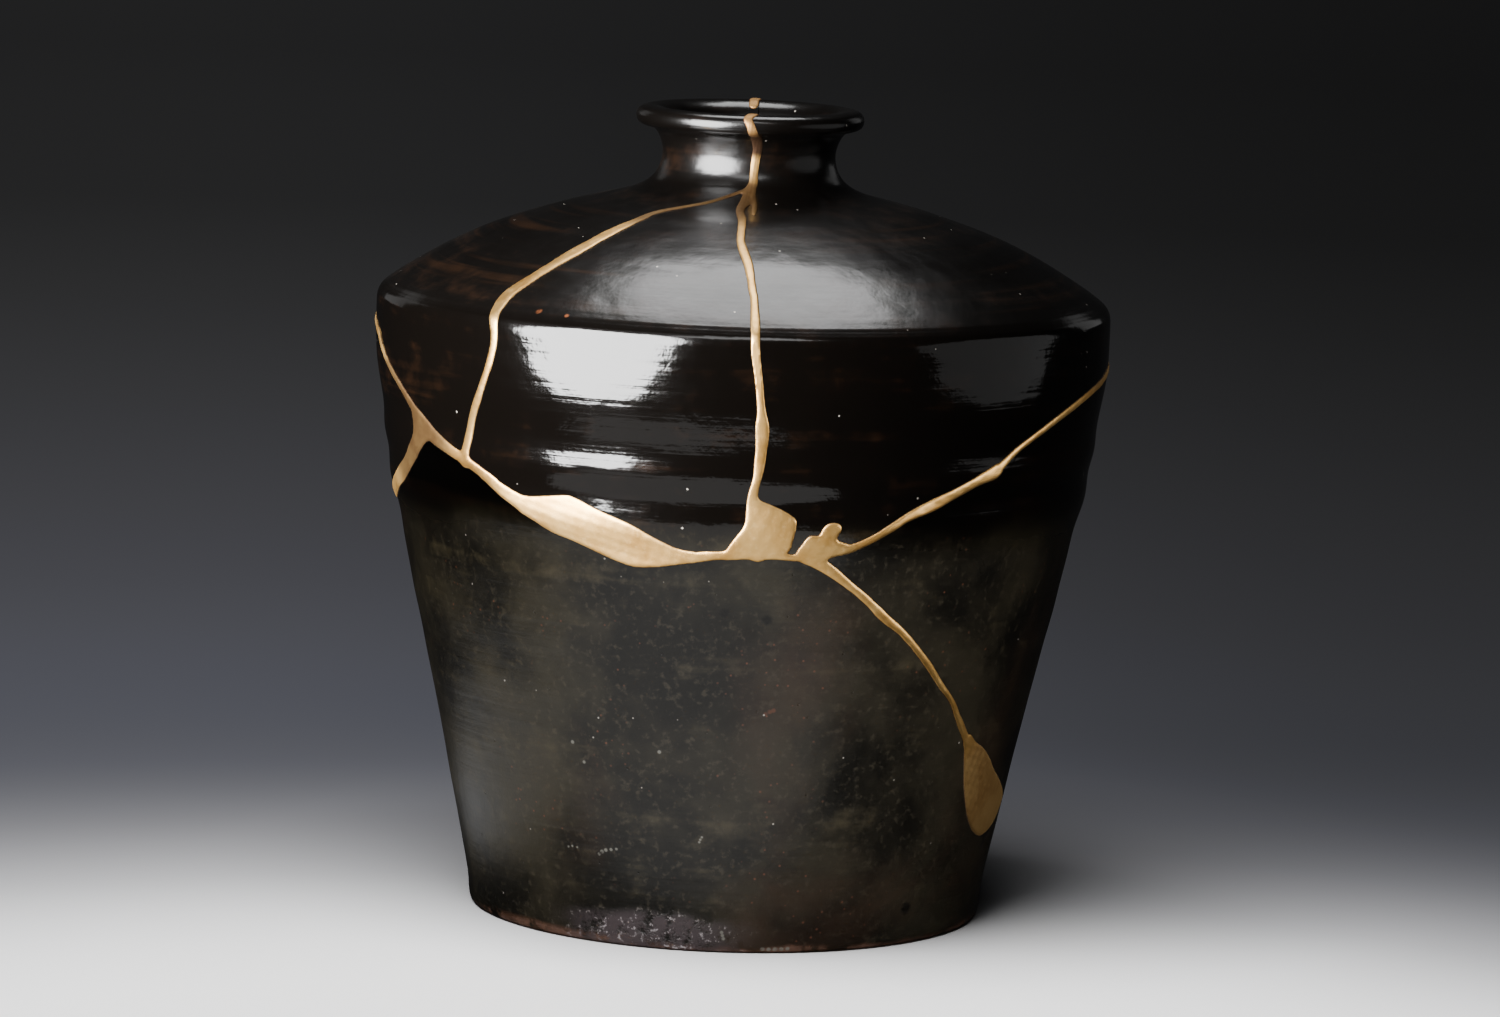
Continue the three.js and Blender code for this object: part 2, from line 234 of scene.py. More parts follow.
SPACING = 1.25
outside = smooth_line(WALL_POINTS + SHOULDER_POINTS + NECK_POINTS, SPACING)
base_wall = outside.copy()
outside = thrown(outside)
outline = np.concatenate([outside, smooth_line([NECK_POINTS[-1], *THROAT_POINTS], SPACING)[1:]])
outline_run = np.concatenate([[0], np.cumsum(np.hypot(*np.diff(outline, axis=0).T))])
TOP_RUN = outline_run[len(outside) - 1]


def up_to(height):
    """The length along the outline up to a height."""
    return float(np.interp(height, outside[:, 0], outline_run[: len(outside)]))


def past_lip(distance):
    """The length along the outline to a place inside the lip."""
    return TOP_RUN + distance


# The chip in the wall below the leaf-shaped patch: its place, depth, half width and half height.
CHIP_DEGREES, CHIP_HEIGHT, CHIP_DEPTH = 76, 28.5, 1.5
CHIP_TURN, CHIP_RISE = 3, 2.8


def wobble(degrees, height):
    """How far the hand-thrown skin strays from round."""
    a = np.radians(degrees)
    slow = 0.10 * np.sin(2 * a + 0.6) + 0.06 * np.sin(3 * a + height / 60)
    rings = 0.05 * np.sin(height / 5.5 + 0.8 * np.sin(a + 1) + 0.5 * np.sin(2 * a))
    fade = np.clip((200 - height) / 25, 0, 1) * np.clip(height / 20, 0, 1)
    aside, above = (degrees - CHIP_DEGREES) / CHIP_TURN, (height - CHIP_HEIGHT) / CHIP_RISE
    chip = CHIP_DEPTH * np.exp(-(aside**2) - above**2)
    return (slow + rings) * fade - chip


def skin(degrees, length, lift):
    """The point over the jar's skin, in millimetres."""
    degrees, length = np.asarray(degrees, float), np.asarray(length, float)
    height = np.interp(length, outline_run, outline[:, 0])
    radius = np.interp(length, outline_run, outline[:, 1])
    reach = 0.8
    low = [np.interp(length - reach, outline_run, outline[:, i]) for i in (0, 1)]
    high = [np.interp(length + reach, outline_run, outline[:, i]) for i in (0, 1)]
    rise, spread = high[0] - low[0], high[1] - low[1]
    size = np.hypot(rise, spread)
    radius = radius + wobble(degrees, height) * (length < TOP_RUN) + lift * rise / size
    height = height - lift * spread / size
    a = np.radians(degrees)
    return np.stack([radius * np.sin(a), -radius * np.cos(a), height + 0 * a], axis=-1)


# The seams, as the photograph shows them and in keeping round the back.
# Each place has its degrees round the jar, its height and the width of the gold.


def seam(*points, by=up_to):
    """A seam's places, with a height or a distance past the lip turned into a length."""
    return [(degrees, by(height), width) for degrees, height, width in points]


centre_seam = seam((2.6, 6.5, 3.2), (2.4, 3.2, 3.4), (1.6, 0.4, 3.8), by=past_lip) + seam(
    (0.0, 279.6, 3.4), (-1.0, 278.7, 3.1), (0.8, 275.9, 3.1), (4.2, 271.9, 3.7), (5.4, 268.1, 3.4),
    (4.6, 264.6, 3.1), (3.7, 259.9, 3.0), (3.3, 256.6, 3.2), (2.0, 254.7, 3.6),
    (-0.5, 250.9, 4.3), (-2.6, 248.7, 3.3), (-1.4, 246.2, 3.2), (-1.3, 242.1, 2.9),
    (-1.1, 240.3, 3.1), (-0.2, 237.7, 3.6), (0.75, 234.6, 3.4), (1.25, 231.1, 3.0),
    (1.56, 227.7, 3.0), (1.9, 224.6, 2.9), (2.0, 217.3, 3.4), (2.1, 209.5, 3.2),
    (2.7, 200.6, 2.9), (3.25, 190.6, 3.2), (3.56, 183.5, 4.8), (3.5, 176.4, 4.2),
    (3.2, 168.7, 3.5), (2.7, 163.0, 3.2), (2.6, 157, 4), (3.6, 148, 5), (3.8, 140.8, 5),
)
left_shoulder_seam = seam(
    (2.0, 254.7, 2.2), (-6, 253.1, 1.7), (-14.7, 250.9, 2.0), (-31.1, 247.4, 2.8),
    (-34.5, 244.6, 4.0), (-36.5, 241.2, 5.4), (-38.2, 235.0, 6.2), (-40.6, 227.7, 5.2),
    (-42.15, 222.0, 6.0), (-41.65, 217.3, 4.8), (-40.4, 209.3, 3.5), (-41.0, 200.6, 3.1),
    (-43.1, 189.8, 3.2), (-45.6, 179.7, 3.6), (-47.7, 167.9, 4.1), (-48.2, 163.8, 4.4),
)
long_seam = seam(
    (-100, 206, 3.8), (-88, 203.8, 3.0), (-79.6, 200.2, 2.7), (-76.6, 196.5, 2.7),
    (-71.05, 189.8, 2.8), (-66.6, 184.4, 3.0), (-62.95, 178.8, 3.9), (-58.3, 171.9, 5.2),
    (-51.7, 166.8, 4.3), (-48.4, 164.6, 4.2), (-43.8, 160.4, 4.1), (-39.6, 155.4, 4.7),
    (-33, 150.5, 6), (-24, 147.5, 7), (-16, 142, 6), (-9.1, 138.9, 5.0), (-2.9, 140.1, 3.2),
    (5, 141, 3.6), (9.2, 140.1, 2.6), (12.8, 140.6, 4.0), (16, 142, 3.6), (19.0, 143.4, 3.3),
    (22.2, 146.3, 3.0), (25.3, 150.1, 3.1), (28.5, 154.0, 3.5), (32.6, 157.4, 4.4),
    (36.5, 160.9, 4.1), (41.1, 165.1, 4.2), (44.2, 167.4, 5.3), (45.7, 169.5, 3.2),
    (49.1, 174.3, 2.7), (54.4, 179.4, 2.9), (60.6, 184.4, 3.1), (69, 189.2, 3.1),
    (78.4, 192.3, 3.1), (88, 194.5, 3.2), (100, 195.7, 3.8),
)
long_seam_behind = seam(
    (100, 195.7, 4.0), (113, 198.5, 3.4), (128, 199.4, 3.6),
    (146, 196.6, 3.2), (163, 198.3, 4.4), (174, 197, 3.4), (186, 195, 4.0), (198, 200.5, 3.4),
    (210, 203.7, 4.2), (235, 204.3, 3.8), (249, 207, 3.4), (260, 206, 4.0),
)
side_branch = seam(
    (-58.3, 171.9, 5.6), (-62.5, 165.2, 5.0), (-66.7, 159.5, 6.0), (-72.4, 152.6, 6.4),
    (-83.75, 143.8, 4.8), (-100, 139.3, 4.0), (-111, 141, 3.4), (-122, 147.5, 3.8),
    (-131, 158, 3.2), (-139, 170.2, 4.0), (-146, 188, 3.4), (-150, 203.7, 4.0),
)
back_seam = seam((178, 6.5, 3.4), (178, 3.2, 3.6), (177.4, 0.4, 4.0), by=past_lip) + seam(
    (176.5, 279.4, 4.0), (175, 278, 3.6), (174, 274.4, 3.4), (173, 269.3, 3.2), (172, 262, 3.2),
    (174, 252.8, 3.6), (170.5, 246, 3.2), (169, 239.3, 3.6), (170.6, 233, 3.2), (170, 228, 3.4),
    (167, 221, 3.4), (166, 216.5, 3.8), (165, 207, 3.4), (163, 198.3, 4.2),
)
crack = seam(
    (12.2, 140.2, 5.2), (13.7, 138.4, 4.8), (16.1, 135.3, 4.0), (19.3, 130.5, 3.2),
    (22.4, 125.8, 3.3), (26.5, 118.8, 3.4), (30.2, 113.5, 3.0), (33.9, 107.0, 3.0),
    (37.6, 100.2, 2.9), (41.0, 93.5, 2.7), (44.9, 86.8, 2.5), (47.5, 80.8, 2.9),
    (51.0, 73.3, 3.6), (53.6, 67.5, 4.6),
)
fork_stub = seam((1.4, 253.6, 2.6), (3.4, 250.4, 2.2), (2.6, 247.6, 1.6))

SHERD_SEAMS = [
    centre_seam, left_shoulder_seam, long_seam, long_seam_behind, side_branch, back_seam,
]
GOLD_SEAMS = [*SHERD_SEAMS, crack, fork_stub]


def patch(*points):
    """The outline of a wide filled place where a piece is lost, from degrees and height."""
    return [(degrees, up_to(height)) for degrees, height in points]


long_patch = patch(
    (-44.8, 159.4), (-42.2, 158.9), (-38.8, 157.0), (-36.1, 155.5), (-33.3, 155.8), (-28.3, 157.2),
    (-26.2, 156.8), (-22.5, 153.8), (-19.0, 151.2), (-16.3, 149.1), (-12.9, 145.4), (-9.1, 142.0),
    (-6.4, 140.6), (-8.5, 137.0), (-11.3, 135.3), (-16.0, 134.4), (-19.3, 135.8), (-23.65, 139.0),
    (-27.0, 141.5), (-30.8, 143.8), (-34.0, 147.0), (-36.4, 149.3), (-37.5, 151.4), (-39.5, 153.6),
    (-41.4, 155.9),
)
corner_patch = patch(
    (2.2, 163.5), (3.3, 160.3), (7.2, 156.7), (9.4, 153.6), (9.6, 150.9), (9.3, 146.5),
    (8.6, 142.0), (5.2, 139.7), (1.5, 139.4), (-1.6, 139.2), (-1.4, 142.3), (0.1, 147.1),
    (1.3, 151.2), (1.7, 158.5),
)
knob = patch(
    (9.9, 141.4), (10.7, 145.0), (11.8, 147.9), (13.3, 148.2), (13.8, 150.4), (14.8, 152.2),
    (16.3, 152.2), (17.0, 150.2), (16.4, 146.6), (18.3, 144.9), (19.2, 142.4), (16.5, 141.0),
    (13.5, 138.3), (11.5, 138.2),
)
web = patch(
    (-63.3, 178.2), (-63.5, 169.4), (-66.9, 162.0), (-62.6, 163.4), (-58.6, 168.0), (-55.2, 168.1),
    (-51.6, 165.2), (-50.0, 165.4), (-53.9, 170.0), (-56.6, 173.2), (-60.6, 178.0),
)
leaf_patch = patch(
    (51.6, 71.2), (52.0, 66.2), (53.2, 60.3), (54.5, 54.3), (56.3, 48.4), (58.5, 42.6),
    (61.9, 37.2), (66.1, 33.9), (70.0, 33.6), (74.5, 35.2), (77.7, 38.0), (79.7, 42.4),
    (79.2, 45.8), (73.4, 51.3), (66.8, 57.5), (62.8, 62.7), (58.5, 67.7), (55.2, 70.5),
    (52.6, 73.8),
)
PATCHES = [long_patch, corner_patch, knob, web, leaf_patch]


# Mesh helpers.


def only(piece):
    bpy.ops.object.select_all(action="DESELECT")
    piece.select_set(True)
    bpy.context.view_layer.objects.active = piece


def edit(piece):
    only(piece)
    bpy.ops.object.mode_set(mode="EDIT")
    bpy.ops.mesh.select_all(action="SELECT")


def done():
    bpy.ops.object.mode_set(mode="OBJECT")


def new_piece(name, points, edges=(), faces=()):
    mesh = bpy.data.meshes.new(name)
    mesh.from_pydata((np.asarray(points) * MM).tolist(), list(edges), list(faces))
    piece = bpy.data.objects.new(name, mesh)
    bpy.context.collection.objects.link(piece)
    return piece


def add_modifier(piece, kind, **settings):
    only(piece)
    modifier = piece.modifiers.new(kind.title(), kind)
    for name, value in settings.items():
        setattr(modifier, name, value)
    bpy.ops.object.modifier_apply(modifier=modifier.name)


# The whole jar, turned, before it broke.

TURNS = 288
# The inside follows the wall between these heights, and as far in as this radius.
INSIDE_FROM, INSIDE_TO, INSIDE_RADIUS = 17, 246, 34
# What is this near to the outline belongs to the outer skin.
SKIN_DEPTH = 3


def inner_line():
    """The inside of the jar, from the throat down to the middle of the floor."""
    body = base_wall[(base_wall[:, 0] > INSIDE_FROM) & (base_wall[:, 0] < INSIDE_TO)]
    along = np.gradient(body, axis=0)
    along /= np.hypot(*along.T)[:, None]
    inset = body + np.stack([along[:, 1], -along[:, 0]], axis=1) * WALL
    inset = inset[::4][::-1]
    inset = inset[inset[:, 1] > INSIDE_RADIUS]
    low = inset[-1]
    floor = [(12.6, low[1] - 2.2), (10.2, low[1] - 4.6), (FLOOR, low[1] - 8.5)]
    return np.array([(249, 28.5), *inset, *floor, (FLOOR, 40), (FLOOR, 0)])


def turn_jar():
    line = np.concatenate([UNDERSIDE, outline, inner_line()])
    points = [(0, -radius, height) for height, radius in line]
    edges = [(i, i + 1) for i in range(len(points) - 1)]
    jar = new_piece("whole_jar", points, edges)
    add_modifier(jar, "SCREW", steps=TURNS, render_steps=TURNS, use_merge_vertices=True)
    edit(jar)
    bpy.ops.mesh.remove_doubles(threshold=0.00002)
    bpy.ops.mesh.normals_make_consistent(inside=False)
    done()
    stray(jar)
    return jar


def stray(jar):
    """Moves the outer skin a little off round, as the gold over it goes."""
    data = np.empty(len(jar.data.vertices) * 3)
    jar.data.vertices.foreach_get("co", data)
    data = data.reshape(-1, 3) / MM
    radius = np.hypot(data[:, 0], data[:, 1])
    degrees = np.degrees(np.arctan2(data[:, 0], -data[:, 1]))
    outer = radius > np.interp(data[:, 2], outside[:, 0], outside[:, 1]) - SKIN_DEPTH
    shift = wobble(degrees, data[:, 2]) * outer / np.maximum(radius, 1)
    data[:, :2] *= 1 + shift[:, None]
    jar.data.vertices.foreach_set("co", (data * MM).ravel())
    jar.data.update()


# The breaks.

JOINT_GAP = 0.3
# The sheets' steps along a seam, and how far they pass its ends and the skin.
SHEET_STEP = 7
SHEET_LAP = 1.3
SHEET_OUT, SHEET_IN = 8, 20
# The length of skin on each side that gives a sheet its slope.
SLOPE_REACH = 25.0
# On the neck a sheet stops this far from the axis, and near the lip it rises this far over it.
NECK_FROM, NECK_CLEAR = 250, 12
LIP_REACH, LIP_RISE = 6, 9.0


def stations(points, step):
    """A smooth run along a seam: degrees, length, width at each step."""
    rows = np.array(points, float)
    radius = np.interp(rows[:, 1], outline_run, outline[:, 1])
    flat = np.stack([np.radians(rows[:, 0]) * radius, rows[:, 1]], axis=1)
    reach = np.hypot(*np.diff(flat, axis=0).T)
    run = []
    ends = [2 * rows[0] - rows[1], *rows, 2 * rows[-1] - rows[-2]]
    for i, (a, b, c, d) in enumerate(zip(ends, ends[1:], ends[2:], ends[3:])):
        u = np.linspace(0, 1, max(int(reach[i] / step), 1), endpoint=False)[:, None]
        run.append(curve(a, b, c, d, u))
    return np.concatenate([*run, [rows[-1]]])


def break_sheet(points):
    """The thin sheet that parts two sherds along a seam."""
    run = stations([p for p in points if p[1] <= TOP_RUN], SHEET_STEP)
    skin_points = skin(run[:, 0], run[:, 1], 0)
    along = np.gradient(skin_points, axis=0)
    along /= np.linalg.norm(along, axis=1)[:, None]
    height = np.interp(run[:, 1], outline_run, outline[:, 0])
    radius = np.interp(run[:, 1], outline_run, outline[:, 1])
    low = np.maximum(run[:, 1] - SLOPE_REACH, 0)
    high = np.minimum(run[:, 1] + SLOPE_REACH, TOP_RUN)
    rise = np.interp(high, outline_run, outline[:, 0]) - np.interp(low, outline_run, outline[:, 0])
    wide = np.interp(high, outline_run, outline[:, 1]) - np.interp(low, outline_run, outline[:, 1])
    size = np.hypot(rise, wide)
    a = np.radians(run[:, 0])
    out = np.stack([rise / size * np.sin(a), -rise / size * np.cos(a), -wide / size], axis=1)
    across = np.cross(out, along)
    across /= np.linalg.norm(across, axis=1)[:, None]
    through = np.where(height > NECK_FROM, radius - NECK_CLEAR, SHEET_IN)[:, None]
    middle = skin_points.copy()
    middle[0] -= along[0] * SHEET_LAP
    middle[-1] += along[-1] * SHEET_LAP
    lip = (run[:, 1] > TOP_RUN - LIP_REACH)[:, None] * np.array([0, 0, LIP_RISE])
    outer = middle + out * SHEET_OUT + lip
    inner = middle - out * through + lip
    half = across * JOINT_GAP / 2
    rings = np.stack([outer + half, outer - half, inner - half, inner + half], axis=1)
    faces = []
    # Both sides are split along the same diagonal, so a twisted sheet keeps its thickness.
    for a in range(0, len(run) * 4 - 4, 4):
        b = a + 4
        faces += [(a, a + 1, b + 1), (a, b + 1, b), (a + 2, a + 3, b + 3), (a + 2, b + 3, b + 2)]
        faces += [(a + 1, a + 2, b + 2), (a + 1, b + 2, b + 1), (a, b + 3, a + 3), (a, b, b + 3)]
    last = len(run) * 4 - 4
    faces += [(3, 2, 1, 0), (last, last + 1, last + 2, last + 3)]
    sheet = new_piece("break_sheet", rings.reshape(-1, 3), (), faces)
    edit(sheet)
    bpy.ops.mesh.normals_make_consistent(inside=False)
    done()
    return sheet


# A place in the middle of each sherd: degrees, height.
SHERDS = {
    "front_sherd": (-20, 222), "left_shoulder_sherd": (-100, 230),
    "right_shoulder_sherd": (80, 230), "left_side_sherd": (-100, 172), "body_sherd": (0, 80),
}


def nearest_corner(part, spot):
    data = np.empty(len(part.data.vertices) * 3)
    part.data.vertices.foreach_get("co", data)
    return np.linalg.norm(data.reshape(-1, 3) - spot, axis=1).min()


def break_jar(jar):
    """Breaks the turned jar along its seams and names the sherds."""
    for points in SHERD_SEAMS:
        sheet = break_sheet(points)
        add_modifier(jar, "BOOLEAN", operation="DIFFERENCE", solver="MANIFOLD", object=sheet)
        bpy.data.objects.remove(sheet)
    edit(jar)
    bpy.ops.mesh.separate(type="LOOSE")
    done()
    parts = list(bpy.context.selected_objects)
    sherds = {}
    for name, (degrees, height) in SHERDS.items():
        spot = skin(degrees, up_to(height), 0) * MM
        part = min(parts, key=lambda part: nearest_corner(part, spot))
        parts.remove(part)
        part.name = part.data.name = name + "_glazed"
        sherds[name] = part
    for scrap in parts:
        print("scrap left out:", len(scrap.data.vertices))
        bpy.data.objects.remove(scrap)
    return sherds


# The gold lacquer, drawn by its outline and swollen from it.
# No primitive gives its run, so it is laid out on a grid on the skin.

# The grid's steps, in degrees and in length, and the step along a seam.
GRID_TURN = 0.25
GRID_RISE = 0.55
GOLD_STEP = 0.35
# How uneven the seams' edges are, and the draw that they come from.
RAGGED = 0.07
EDGE_SEED = 11
# Away from any gold the field holds this distance.
BARE = 50.0
# How softly seams and patches run into each other, and the room round them.
SEAM_BLEND, PATCH_BLEND = 1.6, 1.2
SEAM_MARGIN, PATCH_MARGIN = 2.5, 4
# No rim comes nearer to a corner of the grid than this share of a cell.
SLIVER = 0.04
# The lacquer's rounded height, how far it is sunk at its rim and below, and its uneven top.
CROWN = 0.5
ROUNDING = 1.7
EDGE_DIP = 0.12
BED = 0.6
LUMPS = 0.035
# The gold's face stays within this distance of the axis to the front, the back and both sides.
GOLD_REACH = 127.38
# Edges sharper than this stay sharp, in degrees.
GOLD_CREASE, GLAZE_CREASE = 50, 40


def lay_seam(field, lengths, radii, points, rng):
    """Lowers the field to the distance from a seam's edge, in millimetres."""
    run = stations(points, GOLD_STEP)
    count = len(run)
    rough = np.convolve(rng.normal(size=count + 60), np.hanning(25) / 8, "same")[30:-30]
    half = run[:, 2] / 2 * (1 + RAGGED * rough)
    columns = field.shape[1]
    for (degrees, length, _), wide in zip(run, half):
        reach = wide + SEAM_MARGIN
        radius = np.interp(length, outline_run, outline[:, 1])
        row = np.abs(lengths - length) < reach
        turn = int(np.degrees(reach / radius) / GRID_TURN) + 2
        first = int(round(degrees / GRID_TURN))
        column = np.arange(first - turn, first + turn + 1)
        off = np.radians(column * GRID_TURN - degrees)[None, :] * radii[row][:, None]
        gap = np.hypot(off, (lengths[row] - length)[:, None]) - wide
        rows = np.nonzero(row)[0]
        at = np.ix_(rows, column % columns)
        field[at] = np.minimum(field[at], gap)


def lay_patch(lengths, radii, points, columns):
    """The distance from a patch's edge, in millimetres."""
    closed = np.array([*points, points[0], points[1], points[2]], float)
    edge = []
    for a, b, c, d in zip(closed, closed[1:], closed[2:], closed[3:]):
        edge.append(curve(a, b, c, d, np.linspace(0, 1, 5, endpoint=False)[:, None]))
    edge = np.concatenate(edge)
    field = np.full((len(lengths), columns), BARE)
    low, high = edge[:, 1].min() - PATCH_MARGIN, edge[:, 1].max() + PATCH_MARGIN
    rows = np.nonzero((lengths > low) & (lengths < high))[0]
    margin = int(PATCH_MARGIN / GRID_TURN)
    first = int(edge[:, 0].min() / GRID_TURN) - margin
    last = int(edge[:, 0].max() / GRID_TURN) + margin
    column = np.arange(first, last)
    scale = np.radians(1) * radii[rows].mean()
    x = (column * GRID_TURN * scale)[None, :]
    y = lengths[rows][:, None]
    gap = np.full((len(rows), len(column)), np.inf)
    inside = np.zeros(gap.shape, bool)
    corners = np.stack([edge[:, 0] * scale, edge[:, 1]], axis=1)
    for (x0, y0), (x1, y1) in zip(corners, np.roll(corners, -1, axis=0)):
        dx, dy = x1 - x0, y1 - y0
        share = np.clip(((x - x0) * dx + (y - y0) * dy) / max(dx * dx + dy * dy, 1e-9), 0, 1)
        gap = np.minimum(gap, np.hypot(x - x0 - share * dx, y - y0 - share * dy))
        if y0 != y1:
            crosses = ((y0 > y) != (y1 > y)) & (x < x0 + (y - y0) / (y1 - y0) * dx)
            inside ^= crosses
    field[np.ix_(rows, column % columns)] = np.where(inside, -gap, gap)
    return field


def soft_least(one, other, blend):
    """The lesser of two fields, rounded where they meet."""
    share = np.clip(0.5 + 0.5 * (other - one) / blend, 0, 1)
    return other + (one - other) * share - blend * share * (1 - share)


def lay_gold():
    """The grid's lengths, and how far each of its corners is from the gold's rim."""
    rng = np.random.default_rng(EDGE_SEED)
    lengths = np.arange(0, outline_run[-1], GRID_RISE)
    radii = np.interp(lengths, outline_run, outline[:, 1])
    columns = int(round(360 / GRID_TURN))
    field = np.full((len(lengths), columns), BARE)
    for points in GOLD_SEAMS:
        one = np.full(field.shape, BARE)
        lay_seam(one, lengths, radii, points, rng)
        field = soft_least(field, one, SEAM_BLEND)
    for points in PATCHES:
        one = lay_patch(lengths, radii, points, columns)
        field = soft_least(field, one, PATCH_BLEND)
    return lengths, field


def gold_outline():
    """The corners and faces of the gold on the grid, cut where the field crosses its rim."""
    lengths, field = lay_gold()
    columns = field.shape[1]
    places, depths, index = [], [], {}

    def corner(row, column):
        key = (row, column % columns)
        if key not in index:
            index[key] = len(places)
            places.append((key[1] * GRID_TURN, lengths[row]))
            depths.append(-field[key])
        return index[key]

    def crossing(one, two):
        key = (one, two) if one < two else (two, one)
        if key not in index:
            (r0, c0), (r1, c1) = key
            f0, f1 = field[r0, c0], field[r1, c1]
            share = min(max(f0 / (f0 - f1), SLIVER), 1 - SLIVER)
            index[key] = len(places)
            column = c0 + (c1 - c0) * share
            places.append((column * GRID_TURN, lengths[r0] + (r1 - r0) * share * GRID_RISE))
            depths.append(0.0)
        return index[key]

    inside = field < 0
    right = np.roll(inside, -1, axis=1)
    some = inside[:-1] | inside[1:] | right[:-1] | right[1:]
    faces = []
    for row, column in np.argwhere(some):
        row, column = int(row), int(column)
        # The last column's cells end at the first column.
        if column == columns - 1:
            column = -1
        loop = [(row, column), (row, column + 1), (row + 1, column + 1), (row + 1, column)]
        face = []
        for k, spot in enumerate(loop):
            after = loop[(k + 1) % 4]
            if inside[spot]:
                face.append(corner(*spot))
            if inside[spot] != inside[after]:
                face.append(crossing(spot, after))
        if len(face) > 2:
            faces.append(face)
    return np.array(places), np.array(depths), faces


def bead(depths):
    """How high the lacquer stands, by its distance from the edge."""
    share = 1 - np.clip(depths / ROUNDING, 0, 1)
    swell = 0.02 * np.clip(depths - ROUNDING, 0, 4)
    return CROWN * np.sqrt(np.clip(1 - share**2, 0, 1)) + swell


def make_gold():
    places, depths, faces = gold_outline()
    rim = depths <= 0
    turn, length = places.T
    lumps = LUMPS * np.sin(turn * 1.9 + length * 0.7) * np.sin(length * 1.3 - turn * 0.9)
    lift = np.where(rim, -EDGE_DIP, bead(depths) + lumps * np.clip(depths, 0, 1))
    top = skin(turn, length, lift)
    under = skin(turn, length, -BED)
    top[:, :2] = np.clip(top[:, :2], -GOLD_REACH, GOLD_REACH)
    count = len(places)
    edges = {}
    for face in faces:
        for a, b in zip(face, face[1:] + face[:1]):
            edges[(a, b)] = edges.get((a, b), 0) + 1
    sides = [(b, a, a + count, b + count) for a, b in edges if (b, a) not in edges]
    back = [tuple(i + count for i in reversed(face)) for face in faces]
    gold = new_piece("gold_lacquer_raised", np.concatenate([top, under]), (), faces + sides + back)
    attribute = gold.data.attributes.new("depth", "FLOAT", "POINT")
    attribute.data.foreach_set("value", np.concatenate([depths, 0 * depths]).astype(np.float32))
    edit(gold)
    bpy.ops.mesh.normals_make_consistent(inside=False)
    done()
    only(gold)
    bpy.ops.object.shade_smooth_by_angle(angle=math.radians(GOLD_CREASE))
    return gold


# Finishes.

PALE = (0.13, 0.125, 0.105)
RUST = (0.075, 0.024, 0.009)
DARK = (0.003, 0.0025, 0.002)

# Small flaws in the glaze: degrees, height, how far they reach, colour.
SMALL_MARKS = [
    (0, 7.3, 0.8, PALE), (0.2, 6.2, 0.8, PALE), (0.4, 5.1, 0.8, PALE),
    (9, 1.6, 1.1, PALE), (10.4, 1.5, 1.1, PALE), (11.8, 1.5, 1.2, PALE), (13.2, 1.6, 1.1, PALE),
    (14.6, 1.7, 1, PALE), (-26.6, 31.8, 0.8, PALE), (-25.9, 32.8, 1, PALE), (-25, 33.5, 0.9, PALE),
    (-23.8, 33.9, 0.8, PALE), (-22.6, 34.3, 0.7, PALE), (-34, 32.9, 0.6, PALE),
    (-33, 33.3, 0.6, PALE), (-31.8, 33.1, 0.6, PALE), (-5.1, 39.2, 0.6, PALE),
    (-4.9, 40.1, 0.6, PALE), (-4.6, 41, 0.6, PALE), (-12.9, 70.3, 0.9, PALE),
    (-30.7, 70.6, 0.9, PALE), (-28.5, 64, 0.8, PALE), (7.3, 86.1, 1.1, RUST),
    (8, 86.6, 1.1, RUST), (6.6, 85.4, 0.9, RUST), (-33.6, 217.6, 1.5, RUST),
    (-28.3, 217.2, 1.1, RUST), (5.8, 118.3, 2.6, DARK), (-1.4, 120.3, 2.2, DARK),
    (43.5, 13.1, 3, DARK),
]

# The glaze's colours, from the neck down to the bare clay.
BLACK_GLAZE = (0.0012, 0.0009, 0.0007)
BROWN_GLAZE = (0.0095, 0.0042, 0.0019)
BRUSHED = (0.015, 0.0066, 0.0028)
DEEP_OLIVE = (0.0058, 0.0048, 0.0028)
OLIVE = (0.0230, 0.0185, 0.0092)
LIGHT_OLIVE = (0.042, 0.033, 0.0155)
OLIVE_GRAIN = (0.046, 0.036, 0.020)
WARM_BROWN = (0.036, 0.0165, 0.0070)
FRECKLE = (0.10, 0.032, 0.013)
PALE_SPECK = (0.35, 0.32, 0.28)
GRIT = (0.050, 0.036, 0.038)
GLINT = (0.30, 0.265, 0.27)
DARK_CLAY = (0.045, 0.018, 0.009)
CLAY = (0.13, 0.055, 0.028)

# Each pair of heights has the one where a finish starts and the one where it is full.
SATIN = (152, 134)
GROOVE_LOW, GROOVE_HIGH = (214.2, 215.4), (217.2, 216)
BRUSHED_LOW, BRUSHED_HIGH = (216, 226), (249, 243)
DOME = (211, 218)


